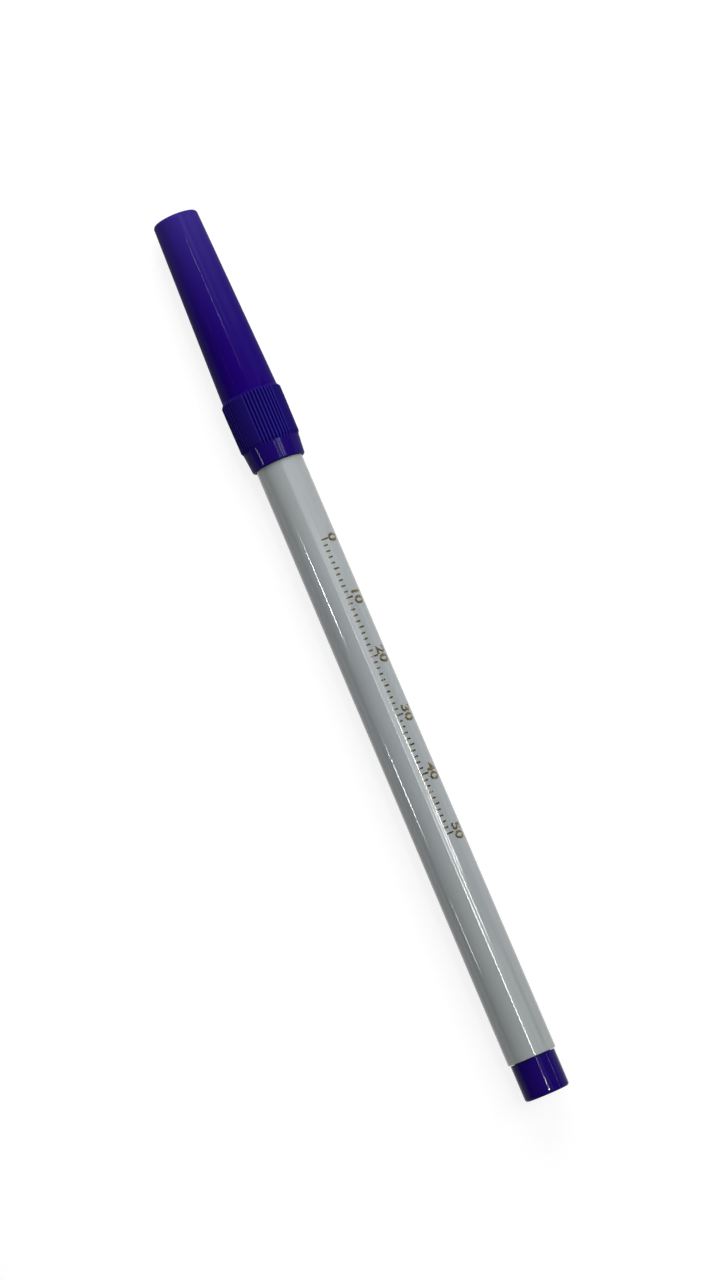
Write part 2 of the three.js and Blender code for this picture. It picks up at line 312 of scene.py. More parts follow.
def place_group(tree, group, **values):
    """Puts a node group in a tree; an input's name is written with _ for a space."""
    placed = tree.nodes.new("ShaderNodeGroup")
    placed.node_tree = group
    for label, value in values.items():
        link(tree, value, placed.inputs[label.replace("_", " ")])
    return placed.outputs


def noise(tree, scale, detail, stretch=None):
    """Noise of about `scale` spots to the metre, mostly from 0.3 to 0.7. A number below 1 in
    `stretch` draws it out along that axis."""
    place = tree.nodes.new("ShaderNodeTexCoord").outputs["Object"]
    if stretch is not None:
        mapping = tree.nodes.new("ShaderNodeMapping")
        mapping.inputs["Scale"].default_value = stretch
        link(tree, place, mapping.inputs["Vector"])
        place = mapping.outputs["Vector"]
    spots = tree.nodes.new("ShaderNodeTexNoise")
    link(tree, place, spots.inputs["Vector"])
    link(tree, scale, spots.inputs["Scale"])
    spots.inputs["Detail"].default_value = detail
    return spots.outputs["Fac"]


def link_colour(tree, colour, target):
    """Joins a colour from a node, or gives the input a plain colour."""
    link(tree, (*colour, 1) if isinstance(colour, tuple) else colour, target)


def blend(tree, share, first, second):
    """A colour between two, by a share that changes over the surface."""
    mix = tree.nodes.new("ShaderNodeMix")
    mix.data_type = "RGBA"
    link(tree, share, mix.inputs["Factor"])
    link_colour(tree, first, mix.inputs[6])
    link_colour(tree, second, mix.inputs[7])
    return mix.outputs[2]


def surface(tree, colour, roughness, height, relief, **others):
    """The Principled shader. Colour and roughness may come from nodes, `height` is raised by
    `relief` metres, and the others are set on the shader's own inputs of those names."""
    shader = tree.nodes.new("ShaderNodeBsdfPrincipled")
    link_colour(tree, colour, shader.inputs["Base Color"])
    link(tree, roughness, shader.inputs["Roughness"])
    bump = tree.nodes.new("ShaderNodeBump")
    bump.inputs["Distance"].default_value = relief
    link(tree, height, bump.inputs["Height"])
    link(tree, bump.outputs["Normal"], shader.inputs["Normal"])
    for label, value in others.items():
        link(tree, value, shader.inputs[label.replace("_", " ")])
    out = tree.nodes.new("ShaderNodeOutputMaterial")
    link(tree, shader.outputs["BSDF"], out.inputs["Surface"])


fibre_inputs = {"Fibres per metre": fibres_per_metre}
fibre_lines, entry, leave = shader_group("fibre_lines", fibre_inputs, ["Strands", "Patches"])
strands = noise(fibre_lines, entry["Fibres per metre"], 3, stretch=(0.02, 1, 1))
link(fibre_lines, strands, leave["Strands"])
patches = noise(fibre_lines, fibre_patches_per_metre, 2, stretch=(0.5, 1, 1))
link(fibre_lines, patches, leave["Patches"])

wick, tree = new_material("ink_soaked_fibre")
fibres = place_group(tree, fibre_lines, Fibres_per_metre=fibres_per_metre)
soaked = ramp(tree, fibres["Patches"], *wick_soaked_range)
dry = ramp(tree, fibres["Strands"], *wick_dry_range)
strand_colour = blend(tree, dry, wick_colour, wick_dry_colour)
wick_shade = blend(tree, soaked, strand_colour, wick_colour)
surface(tree, wick_shade, wick_roughness, fibres["Strands"], fibre_relief)

film, tree = new_material("wrapping_film")
creases = noise(tree, film_creases_per_metre, 3, stretch=(0.15, 1, 1))
surface(
    tree,
    film_colour,
    ramp(tree, creases, *film_crease_range, *film_roughness),
    creases,
    film_crease_relief,
    Transmission_Weight=film_clearness,
    IOR=film_refraction,
)

tubing, tree = new_material("drawn_tube")
draw_lines = noise(tree, draw_lines_per_metre, 2, stretch=(0.01, 1, 1))
breather_shade = blend(tree, draw_lines, breather_colour, breather_dull_colour)
surface(tree, breather_shade, breather_roughness, draw_lines, draw_line_relief)

for cad_node, material in {
    "ink_reservoir": wick,
    "reservoir_film": film,
    "breather_tube": tubing,
}.items():
    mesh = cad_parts[cad_node].data
    mesh.materials.clear()
    mesh.materials.append(material)


# Nib. A rod of bonded acrylic fibre, ground to a blunt round point, pressed through the holder
# with its tail in the reservoir; ink has darkened it unevenly.
nib_low, nib_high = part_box("nib")
nib_radius = (nib_high.z - nib_low.z) / 2
nib_point_length = 2.7 * mm
nib_shoulder_rounding = 0.8 * nib_point_length
nib_tip_radius = 0.35 * mm
nib_end_radius = 1.15 * nib_tip_radius
nib_end_rounding = 1.25 * nib_tip_radius
nib_tail_edge = 0.1 * mm
nib_segments = 96
nib_colour = (0.085, 0.045, 0.40)
nib_light_colour = (0.20, 0.15, 0.60)
nib_roughness = (0.8, 0.45)
nib_light_range = (0.42, 0.62)
nib_wet_range = (0.4, 0.62)
arc_step = math.radians(12)
edge_support = 0.05 * mm
sharp_edge = math.radians(40)


def rounded(corners, closed):
    """The outline through (station, radius, rounding) corners, with an arc at each rounding and a
    point close to both ends of each straight run, which keeps smooth shading true there."""
    spots = [Vector(corner[:2]) for corner in corners]
    path = []
    for i, (station, radius, rounding) in enumerate(corners):
        here = spots[i]
        if rounding == 0:
            path.append(here)
            continue
        back = (spots[i - 1] - here).normalized()
        onward = (spots[(i + 1) % len(spots)] - here).normalized()
        half_angle = back.angle(onward) / 2
        centre = here + (back + onward).normalized() * rounding / math.sin(half_angle)
        setback = rounding / math.tan(half_angle)
        first, last = (here + way * setback - centre for way in (back, onward))
        sweep = math.pi - 2 * half_angle
        steps = max(2, math.ceil(sweep / arc_step))
        for k in range(steps + 1):
            share = k / steps
            weights = math.sin((1 - share) * sweep), math.sin(share * sweep)
            path.append(centre + (first * weights[0] + last * weights[1]) / math.sin(sweep))
    outline = []
    for i, here in enumerate(path):
        outline.append(here)
        if i + 1 == len(path) and not closed:
            break
        run = path[(i + 1) % len(path)] - here
        if run.length > 4 * edge_support:
            outline.append(here + run.normalized() * edge_support)
            outline.append(here + run - run.normalized() * edge_support)
    return outline


def turned(name, corners, segments, material, closed=False):
    """A piece turned about the pen's axis. Its outline runs from the axis to the axis, or back to
    its own start if it is closed."""
    outline = rounded(corners, closed)
    shape = bmesh.new()
    rings = []
    for station, radius in outline:
        count = segments if radius > 0 else 1
        ring = []
        for i in range(count):
            turn = math.tau * i / count
            spot = station, -math.sin(turn) * radius, axis_height + math.cos(turn) * radius
            ring.append(shape.verts.new(spot))
        rings.append(ring)
    pairs = list(zip(rings, rings[1:])) + ([(rings[-1], rings[0])] if closed else [])
    for ring, after in pairs:
        for i in range(segments):
            here, onward = (ring[k % len(ring)] for k in (i, i + 1))
            beyond_here, beyond_onward = (after[k % len(after)] for k in (i, i + 1))
            face = here, onward, beyond_onward, beyond_here
            shape.faces.new(dict.fromkeys(face))
    bmesh.ops.recalc_face_normals(shape, faces=shape.faces)
    mesh = bpy.data.meshes.new(name)
    shape.to_mesh(mesh)
    shape.free()
    mesh.shade_smooth()
    mesh.set_sharp_from_angle(angle=sharp_edge)
    mesh.materials.append(material)
    return new_object(name, mesh)


nib_fibre, tree = new_material("nib_fibre")
fibres = place_group(tree, fibre_lines, Fibres_per_metre=fibres_per_metre)
light = ramp(tree, fibres["Strands"], *nib_light_range)
strand_colour = blend(tree, light, nib_colour, nib_light_colour)
wet = ramp(tree, fibres["Patches"], *nib_wet_range)
nib_shade = blend(tree, wet, strand_colour, nib_colour)
surface(tree, nib_shade, ramp(tree, wet, 0, 1, *nib_roughness), fibres["Strands"], fibre_relief)

nib_corners = [
    (nib_low.x, 0, 0),
    (nib_low.x, nib_radius, nib_tail_edge),
    (nib_high.x - nib_point_length, nib_radius, nib_shoulder_rounding),
    (nib_high.x, nib_end_radius, nib_end_rounding),
    (nib_high.x, 0, 0),
]
nib = turned("fibre_nib", nib_corners, nib_segments, nib_fibre)
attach(nib, "pen_body")
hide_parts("nib")


# Nib holder. One moulding in white polypropylene: a spigot with a snap bead that presses into the
# barrel, a flange on its rim, a collar that the inner cap seals on, and a cone round the nib.
holder_low, holder_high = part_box("nib_holder")
barrel_low, barrel_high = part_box("barrel")
bore_radius = 3.1 * mm
spigot_radius = 3.05 * mm
seat_gap = 0.1 * mm
flange_radius = (holder_high.z - holder_low.z) / 2
flange_start = barrel_high.x + seat_gap
flange_length = 1.2 * mm
collar_radius = 2.9 * mm
collar_length = 3.2 * mm
nose_radius = 2.2 * mm
nose_tip_radius = 1.65 * mm
holder_bore_radius = 1.05 * mm
holder_segments = 144
moulded_rounding = 0.2 * mm
fine_rounding = 0.08 * mm
snap_rise = 0.12 * mm
snap_width = 0.7 * mm
snap_slope = 0.25 * mm
holder_snap_station = flange_start - 5 * mm
vent_width = 0.5 * mm
vent_depth = 0.3 * mm
vent_overrun = 1 * mm
skin_waves_per_metre = 260.0
long_scratches_per_metre = 2600.0
long_scratch_range = (0.64, 0.72)
cross_scratches_per_metre = 2200.0
cross_scratch_range = (0.66, 0.74)
smudges_per_metre = 190.0
smudge_range = (0.48, 0.75)
smudge_strength = 0.6
white_colour = (0.80, 0.80, 0.765)
white_dull_colour = (0.74, 0.74, 0.70)
white_roughness = (0.42, 0.55)
white_relief = 0.012 * mm
white_translucence = 0.12
white_light_reach = (0.6 * mm, 0.6 * mm, 0.5 * mm)
ink_stain_colour = (0.22, 0.14, 0.55)
ink_stain_radii = (0.75 * mm, 1.35 * mm)
ink_stain_length = 2 * mm
ink_creep = 0.9 * mm
ink_edge_spots_per_metre = 1400.0


def snap_ring(station, radius, width, slope, rise):
    """The corners of a bead round a wall, or of a groove in a bore if the path runs backwards."""
    half_width = math.copysign(width / 2, width)
    slope = math.copysign(slope, width)
    return [
        (station - half_width, radius, fine_rounding),
        (station - half_width + slope, radius + rise, fine_rounding),
        (station + half_width - slope, radius + rise, fine_rounding),
        (station + half_width, radius, fine_rounding),
    ]


def plain_mesh(piece):
    """The shape that a piece has once its modifiers have run, as a new mesh."""
    run = piece.evaluated_get(bpy.context.evaluated_depsgraph_get())
    return bpy.data.meshes.new_from_object(run)


def cut_out(piece, blocks):
    """Takes blocks out of a piece. A block is (size, middle, turn about the pen's axis)."""
    for size, middle, turn in blocks:
        shape = bmesh.new()
        block = Matrix.Translation(middle) @ Matrix.Diagonal((*size, 1))
        bmesh.ops.create_cube(shape, size=1, matrix=block)
        about_axis = Matrix.Rotation(turn, 3, "X")
        bmesh.ops.rotate(shape, verts=shape.verts, cent=axis_middle, matrix=about_axis)
        mesh = bpy.data.meshes.new("cutter")
        shape.to_mesh(mesh)
        shape.free()
        cutter = new_object("cutter", mesh)
        modifier = piece.modifiers.new("cut", "BOOLEAN")
        modifier.operation = "DIFFERENCE"
        modifier.object = cutter
        plain = plain_mesh(piece)
        piece.modifiers.clear()
        piece.data = plain
        bpy.data.objects.remove(cutter)
    piece.data.shade_smooth()
    piece.data.set_sharp_from_angle(angle=sharp_edge)


skin_inputs = {"Grain per metre": 5000.0, "Grain share": 0.5, "Scratches": 0.5}
moulded_skin, entry, leave = shader_group("moulded_skin", skin_inputs, ["Height", "Marks"])
grain = noise(moulded_skin, entry["Grain per metre"], 3)
waves = noise(moulded_skin, skin_waves_per_metre, 1, stretch=(0.5, 1, 1))
grain_part = calc(moulded_skin, "MULTIPLY", grain, entry["Grain share"])
wave_share = calc(moulded_skin, "SUBTRACT", 1.0, entry["Grain share"])
wave_part = calc(moulded_skin, "MULTIPLY", waves, wave_share)
link(moulded_skin, calc(moulded_skin, "ADD", grain_part, wave_part), leave["Height"])
long_lines = noise(moulded_skin, long_scratches_per_metre, 2, stretch=(0.03, 1, 1))
cross_lines = noise(moulded_skin, cross_scratches_per_metre, 2, stretch=(1, 0.05, 0.05))
long_scratches = ramp(moulded_skin, long_lines, *long_scratch_range)
cross_scratches = ramp(moulded_skin, cross_lines, *cross_scratch_range)
scratches = calc(moulded_skin, "MAXIMUM", long_scratches, cross_scratches)
kept_scratches = calc(moulded_skin, "MULTIPLY", scratches, entry["Scratches"])
smudges = ramp(moulded_skin, noise(moulded_skin, smudges_per_metre, 3), *smudge_range)
kept_smudges = calc(moulded_skin, "MULTIPLY", smudges, smudge_strength)
link(moulded_skin, calc(moulded_skin, "MAXIMUM", kept_scratches, kept_smudges), leave["Marks"])

height_input = {"Axis height": axis_height}
axis_distance, entry, leave = shader_group("axis_distance", height_input, ["Distance"])
spot = coordinates(axis_distance)
rise = calc(axis_distance, "SUBTRACT", spot["Z"], entry["Axis height"])
squares = [calc(axis_distance, "MULTIPLY", side, side) for side in (spot["Y"], rise)]
distance = calc(axis_distance, "SQRT", calc(axis_distance, "ADD", *squares))
link(axis_distance, distance, leave["Distance"])


def white_plastic(name, stain_start):
    """White moulded plastic, stained by ink close to the nib from a station onwards."""
    material, tree = new_material(name)
    skin = place_group(tree, moulded_skin, Grain_per_metre=3800.0, Grain_share=0.55, Scratches=0.35)
    distance = place_group(tree, axis_distance, Axis_height=axis_height)["Distance"]
    creep = calc(tree, "MULTIPLY", noise(tree, ink_edge_spots_per_metre, 3), ink_creep)
    near = ramp(tree, calc(tree, "SUBTRACT", distance, creep), *ink_stain_radii, 1, 0)
    ahead = ramp(tree, coordinates(tree)["X"], stain_start, stain_start + ink_stain_length)
    stained = calc(tree, "MULTIPLY", near, ahead)
    shade = blend(tree, skin["Marks"], white_colour, white_dull_colour)
    surface(
        tree,
        blend(tree, stained, shade, ink_stain_colour),
        ramp(tree, skin["Marks"], 0, 1, *white_roughness),
        skin["Height"],
        white_relief,
        Subsurface_Weight=white_translucence,
        Subsurface_Radius=white_light_reach,
        Subsurface_Scale=1.0,
    )
    return material


collar_start = flange_start + flange_length
nose_start = collar_start + collar_length
holder_corners = [
    (holder_low.x, holder_bore_radius, fine_rounding),
    (holder_low.x, spigot_radius, moulded_rounding),
    *snap_ring(holder_snap_station, spigot_radius, snap_width, snap_slope, snap_rise),
    (flange_start, spigot_radius, 0),
    (flange_start, flange_radius, fine_rounding),
    (collar_start, flange_radius, moulded_rounding),
    (collar_start, collar_radius, fine_rounding),
    (nose_start, collar_radius, moulded_rounding),
    (nose_start, nose_radius, moulded_rounding),
    (holder_high.x, nose_tip_radius, moulded_rounding),
    (holder_high.x, holder_bore_radius, fine_rounding),
]
white_holder = white_plastic("white_holder", nose_start)
holder = turned("nib_holder_moulding", holder_corners, holder_segments, white_holder, closed=True)
vent_length = holder_high.x - holder_low.x + 2 * vent_overrun
vent_size = (vent_length, vent_width, 2 * (holder_bore_radius + vent_depth))
vent_middle = Vector(((holder_low.x + holder_high.x) / 2, 0, axis_height))
cut_out(holder, [(vent_size, vent_middle, turn) for turn in (0, math.pi / 2)])
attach(holder, "pen_body")
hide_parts("nib_holder")


# Barrel. A tube moulded in light grey polystyrene, polished, with a faint taper towards the front
# and a parallel neck that carries the bead the cap snaps over.
barrel_rear_radius = (barrel_high.z - barrel_low.z) / 2
neck_radius = 3.875 * mm
neck_bead_radius = 3.925 * mm
neck_bead_station = barrel_high.x - 3 * mm
neck_bead_width = 1 * mm
neck_bead_slope = 0.35 * mm
barrel_edge = 0.3 * mm
barrel_rear_edge = 0.15 * mm
barrel_segments = 240
cap_low, cap_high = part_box("cap_shell")
plug_shoulder = barrel_low.x - seat_gap
plug_snap_station = plug_shoulder + 4.2 * mm
snap_groove_width = snap_width + 0.2 * mm
grey_colour = (0.415, 0.445, 0.464)
grey_soiled_colour = (0.36, 0.385, 0.375)
grey_roughness = (0.055, 0.13)
grey_relief = 0.0004 * mm
grey_mark_strength = 0.55
soiling_strength = 0.4
soiled_clouds_per_metre = 45.0
soiled_range = (0.35, 0.7)
rub_lines_per_metre = 5200.0
rub_range = (0.5, 0.7)
rub_strength = 0.7
rub_start = cap_low.x + 0.5 * mm
rub_full = cap_low.x + 2 * mm

grey, tree = new_material("grey_barrel_plastic")
skin = place_group(tree, moulded_skin, Grain_per_metre=1500.0, Grain_share=0.18, Scratches=0.5)
under_cap = ramp(tree, coordinates(tree)["X"], rub_start, rub_full)
rub_lines = ramp(tree, noise(tree, rub_lines_per_metre, 2, stretch=(0.04, 1, 1)), *rub_range)
rub_marks = calc(tree, "MULTIPLY", rub_lines, calc(tree, "MULTIPLY", under_cap, rub_strength))
skin_marks = calc(tree, "MULTIPLY", skin["Marks"], grey_mark_strength)
dull_marks = calc(tree, "MAXIMUM", skin_marks, rub_marks)
clouds = ramp(tree, noise(tree, soiled_clouds_per_metre, 2), *soiled_range, 0, soiling_strength)
surface(
    tree,
    blend(tree, clouds, grey_colour, grey_soiled_colour),
    ramp(tree, dull_marks, 0, 1, *grey_roughness),
    skin["Height"],
    grey_relief,
)

neck_bead_rise = neck_bead_radius - neck_radius
barrel_corners = [
    (barrel_low.x, bore_radius, fine_rounding),
    (barrel_low.x, barrel_rear_radius, barrel_rear_edge),
    (cap_low.x, neck_radius, 0),
    *snap_ring(neck_bead_station, neck_radius, neck_bead_width, neck_bead_slope, neck_bead_rise),
    (barrel_high.x, neck_radius, barrel_edge),
    (barrel_high.x, bore_radius, fine_rounding),
    *snap_ring(holder_snap_station, bore_radius, -snap_groove_width, snap_slope, snap_rise),
    *snap_ring(plug_snap_station, bore_radius, -snap_groove_width, snap_slope, snap_rise),
]
barrel = turned("barrel_tube", barrel_corners, barrel_segments, grey, closed=True)
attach(barrel, "pen_body")
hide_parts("barrel")


# Measuring scale on the barrel. Fine lines and figures hot-stamped in gold foil, a few hundredths
# of a millimetre thick: five centimetres in millimetre steps, from near the cap to the rear.
scale_zero_station = 18 * mm
scale_division = 1 * mm
scale_marks = 51
marks_to_a_figure = 10
marks_to_a_middle_line = 5
mark_lengths = {"Short line": 0.75 * mm, "Middle line": 1.0 * mm, "Long line": 1.3 * mm}
mark_width = 0.26 * mm
foil_thickness = 0.03 * mm
foil_sink = 0.012 * mm
scale_start_angle = math.radians(20.5)
figure_height = 2.0 * mm
figure_gap = 0.15 * mm
figure_thickening = 0.07 * mm
font_figure_share = 0.7
figure_cut = 0.15 * mm
weld_distance = 0.001 * mm
# The foil's gold is painted far darker than real gold, as painted shade, so that it shows dark as
# if it mirrored dark surroundings; crinkles vary it at random between two such tones.
foil_painted_shade_colour = (0.18, 0.142, 0.058)
foil_dark_painted_shade_colour = (0.10, 0.08, 0.036)
foil_roughness = (0.18, 0.3)
foil_relief = 0.006 * mm
foil_crinkles_per_metre = 3200.0
foil_crinkle_range = (0.3, 0.7)
foil_gaps_per_metre = 2100.0
foil_gap_range = (0.62, 0.7)

foil, tree = new_material("gold_foil")
crinkle = noise(tree, foil_crinkles_per_metre, 3)
worn = ramp(tree, noise(tree, foil_gaps_per_metre, 4), *foil_gap_range)
surface(
    tree,
    blend(tree, worn, blend(tree, crinkle, foil_painted_shade_colour, foil_dark_painted_shade_colour), grey_colour),
    ramp(tree, crinkle, *foil_crinkle_range, *foil_roughness),
    crinkle,
    foil_relief,
    Metallic=calc(tree, "SUBTRACT", 1.0, worn),
)


def figures_laid_flat():
    """The figures 0 to 50 on a flat sheet, x along the scale and y up from its edge, cut across
    in narrow strips so that they can bend."""
    shape = bmesh.new()
    up = mark_lengths["Long line"] + figure_gap
    for number in range(0, scale_marks, marks_to_a_figure):
        text = bpy.data.curves.new("figure", "FONT")
        text.body = str(number)
        text.align_x = "CENTER"
        text.size = figure_height / font_figure_share
        text.offset = figure_thickening
        carrier = new_object("figure", text)
        flat = plain_mesh(carrier)
        flat.transform(Matrix.Translation((number * scale_division, up, 0)))
        shape.from_mesh(flat)
        bpy.data.objects.remove(carrier)
    bmesh.ops.remove_doubles(shape, verts=shape.verts, dist=weld_distance)
    height = mark_lengths["Long line"]
    while height < up + figure_height:
        everything = shape.verts[:] + shape.edges[:] + shape.faces[:]
        bmesh.ops.bisect_plane(shape, geom=everything, plane_co=(0, height, 0), plane_no=(0, 1, 0))
        height += figure_cut
    raised = bmesh.ops.extrude_face_region(shape, geom=shape.faces[:])["geom"]
    tops = [item for item in raised if isinstance(item, bmesh.types.BMVert)]
    bmesh.ops.translate(shape, verts=tops, vec=(0, 0, foil_thickness))
    bmesh.ops.recalc_face_normals(shape, faces=shape.faces)
    mesh = bpy.data.meshes.new("foil_scale")
    shape.to_mesh(mesh)
    shape.free()
    return mesh


def geometry_tree(name, inputs):
    """An empty geometry node tree with named inputs, and the identifier of each."""
    tree = bpy.data.node_groups.new(name, "GeometryNodeTree")
    tree.interface.new_socket(name="Geometry", in_out="INPUT", socket_type="NodeSocketGeometry")
    kinds = {
        int: "NodeSocketInt",
        float: "NodeSocketFloat",
        bpy.types.Material: "NodeSocketMaterial",
    }
    keys = {}
    for label, value in inputs.items():
        kind = kinds[type(value)]
        socket = tree.interface.new_socket(name=label, in_out="INPUT", socket_type=kind)
        keys[label] = socket.identifier
    tree.interface.new_socket(name="Geometry", in_out="OUTPUT", socket_type="NodeSocketGeometry")
    entry = tree.nodes.new("NodeGroupInput").outputs
    leave = tree.nodes.new("NodeGroupOutput").inputs
    return tree, entry, leave, keys


def node(tree, kind, **inputs):
    """A node with its inputs; an input's name is written with _ for a space."""
    made = tree.nodes.new(kind)
    for label, value in inputs.items():
        link(tree, value, made.inputs[label.replace("_", " ")])
    return made.outputs


def point_parts(tree):
    """The X, Y and Z of each point of the geometry."""
    place = node(tree, "GeometryNodeInputPosition")["Position"]
    return node(tree, "ShaderNodeSeparateXYZ", Vector=place)


def moved_points(tree, geometry, along, aside, rise, height):
    """The geometry with its points put at a station, aside and above an axis at a height."""
    above = calc(tree, "ADD", height, rise)
    place = node(tree, "ShaderNodeCombineXYZ", X=along, Y=aside, Z=above)["Vector"]
    return node(tree, "GeometryNodeSetPosition", Geometry=geometry, Position=place)["Geometry"]


def grown(piece, tree, keys, inputs):
    """Runs a geometry node tree on a piece and keeps the result as a plain mesh."""
    modifier = piece.modifiers.new(tree.name, "NODES")
    modifier.node_group = tree
    for label, value in inputs.items():
        modifier[keys[label]] = value
    plain = plain_mesh(piece)
    piece.modifiers.clear()
    piece.data = plain


def closing_nodes(tree, geometry, material, leave):
    """Real geometry in place of instances, with its material, as the tree's result."""
    real = node(tree, "GeometryNodeRealizeInstances", Geometry=geometry)["Geometry"]
    dressed = node(tree, "GeometryNodeSetMaterial", Geometry=real, Material=material)["Geometry"]
    link(tree, dressed, leave["Geometry"])


taper = (barrel_rear_radius - neck_radius) / (cap_low.x - barrel_low.x)
radius_at_zero = neck_radius + taper * (cap_low.x - scale_zero_station)
scale_inputs = {
    "Division": scale_division,
    "Marks": scale_marks,
    **mark_lengths,
    "Line width": mark_width,
    "Foil thickness": foil_thickness,
    "Foil sink": foil_sink,
    "Zero station": scale_zero_station,
    "Radius at zero": radius_at_zero,
    "Radius gained per metre": taper,
    "Start angle": scale_start_angle,
    "Axis height": axis_height,
    "Foil": foil,
}

tree, entry, leave, keys = geometry_tree("foil_scale", scale_inputs)
# Every fifth mark is longer than the rest, and every tenth is longest.
index = node(tree, "GeometryNodeInputIndex")["Index"]
length = entry["Short line"]
for period, shorter, longer in (
    (marks_to_a_middle_line, "Short line", "Middle line"),
    (marks_to_a_figure, "Middle line", "Long line"),
):
    due = calc(tree, "COMPARE", calc(tree, "MODULO", index, period), 0.0, 0.1)
    gain = calc(tree, "SUBTRACT", entry[longer], entry[shorter])
    length = calc(tree, "ADD", length, calc(tree, "MULTIPLY", due, gain))
# Each mark is a unit bar on a point of the scale, scaled to its size and cut across to bend.
step = node(tree, "ShaderNodeCombineXYZ", X=entry["Division"])["Vector"]
places = node(tree, "GeometryNodeMeshLine", Count=entry["Marks"], Offset=step)["Mesh"]
bar_points = {"Vertices X": 2, "Vertices Y": 7, "Vertices Z": 2}
bar = node(tree, "GeometryNodeMeshCube", Size=(1, 1, 1), **bar_points)["Mesh"]
bar = node(tree, "GeometryNodeTransform", Geometry=bar, Translation=(0, 0.5, 0.5))["Geometry"]
bar_sizes = {"X": entry["Line width"], "Y": length, "Z": entry["Foil thickness"]}
bar_size = node(tree, "ShaderNodeCombineXYZ", **bar_sizes)["Vector"]
row = {"Points": places, "Instance": bar, "Scale": bar_size}
bars = node(tree, "GeometryNodeInstanceOnPoints", **row)["Instances"]
bars = node(tree, "GeometryNodeRealizeInstances", Geometry=bars)["Geometry"]
joined = tree.nodes.new("GeometryNodeJoinGeometry")
link(tree, bars, joined.inputs["Geometry"])
link(tree, entry["Geometry"], joined.inputs["Geometry"])
# The flat scale, marks and figures, is laid round the tapered barrel.
spot = point_parts(tree)
gained = calc(tree, "MULTIPLY", spot["X"], entry["Radius gained per metre"])
radius = calc(tree, "ADD", entry["Radius at zero"], gained)
angle = calc(tree, "ADD", entry["Start angle"], calc(tree, "DIVIDE", spot["Y"], radius))
reach = calc(tree, "ADD", radius, calc(tree, "SUBTRACT", spot["Z"], entry["Foil sink"]))
along = calc(tree, "SUBTRACT", entry["Zero station"], spot["X"])
aside = calc(tree, "MULTIPLY", calc(tree, "SINE", angle), calc(tree, "MULTIPLY", reach, -1.0))
rise = calc(tree, "MULTIPLY", calc(tree, "COSINE", angle), reach)
wrapped = moved_points(tree, joined.outputs["Geometry"], along, aside, rise, entry["Axis height"])
closing_nodes(tree, wrapped, entry["Foil"], leave)

scale = new_object("foil_scale", figures_laid_flat())
grown(scale, tree, keys, scale_inputs)
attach(scale, "pen_body")


# End plug. Violet polypropylene, moulded with a polished head, a hollow spigot with a snap bead
# that presses into the barrel, and four air notches in the spigot's rim.
plug_low, plug_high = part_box("end_plug")
plug_head_radius = 3.69 * mm
plug_edge = 0.45 * mm
plug_bore_radius = 2.35 * mm
plug_end_wall = 1.4 * mm
plug_segments = 192
notch_width = 1.2 * mm
notch_depth = 1.5 * mm
gate_radius = 0.9 * mm
gate_depth = 0.18 * mm
violet_polished_colour = (0.0145, 0.0036, 0.150)
violet_worn_colour = (0.045, 0.03, 0.18)
wear_softness = 0.06
wear_patch_range = (0.45, 0.7)
plug_roughness = (0.03, 0.1)
plug_relief = 0.0008 * mm
plug_gloss = 0.05
plug_wear = 0.5

wear_inputs = {"Sharpness": 0.56, "Spots per metre": 1200.0}
edge_wear, entry, leave = shader_group("edge_wear", wear_inputs, ["Wear"])
pointed = edge_wear.nodes.new("ShaderNodeNewGeometry").outputs["Pointiness"]
sharper = calc(edge_wear, "ADD", entry["Sharpness"], wear_softness)
patches = ramp(edge_wear, noise(edge_wear, entry["Spots per metre"], 3), *wear_patch_range)
on_edge = ramp(edge_wear, pointed, entry["Sharpness"], sharper)
link(edge_wear, calc(edge_wear, "MULTIPLY", on_edge, patches), leave["Wear"])

plug_plastic, tree = new_material("violet_plug_plastic")
skin = place_group(tree, moulded_skin, Grain_per_metre=1700.0, Grain_share=0.2, Scratches=0.6)
wear = place_group(tree, edge_wear, Sharpness=0.54, Spots_per_metre=1500.0)["Wear"]
worn_share = calc(tree, "MULTIPLY", wear, plug_wear)
surface(
    tree,
    blend(tree, worn_share, violet_polished_colour, violet_worn_colour),
    ramp(tree, calc(tree, "MAXIMUM", skin["Marks"], wear), 0, 1, *plug_roughness),
    skin["Height"],
    plug_relief,
    Specular_IOR_Level=plug_gloss,
)

plug_corners = [
    (plug_low.x + gate_depth, 0, 0),
    (plug_low.x + gate_depth, gate_radius, fine_rounding),
    (plug_low.x, gate_radius, fine_rounding),
    (plug_low.x, plug_head_radius, plug_edge),
    (plug_shoulder, plug_head_radius, fine_rounding),
    (plug_shoulder, spigot_radius, 0),
    *snap_ring(plug_snap_station, spigot_radius, snap_width, snap_slope, snap_rise),
    (plug_high.x, spigot_radius, fine_rounding),
    (plug_high.x, plug_bore_radius, fine_rounding),
    (plug_low.x + plug_end_wall, plug_bore_radius, moulded_rounding),
    (plug_low.x + plug_end_wall, 0, 0),
]
plug = turned("end_plug_moulding", plug_corners, plug_segments, plug_plastic)
notch_size = (2 * notch_depth, notch_width, 4 * spigot_radius)
notch_middle = Vector((plug_high.x, 0, axis_height))
cut_out(plug, [(notch_size, notch_middle, turn) for turn in (0, math.pi / 2)])
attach(plug, "pen_body")
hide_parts("end_plug")


# Inner cap. A thin white polypropylene cup, pressed into the cap as far as its flange, that closes
# airtight over the nose so that the ink doesn't dry.
inner_low, inner_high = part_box("inner_cap")
inner_flange_radius = (inner_high.z - inner_low.z) / 2
inner_radius = 3.3 * mm
inner_bore_radius = 2.95 * mm
inner_flange_length = 0.8 * mm
inner_end_wall = 0.6 * mm
inner_segments = 144

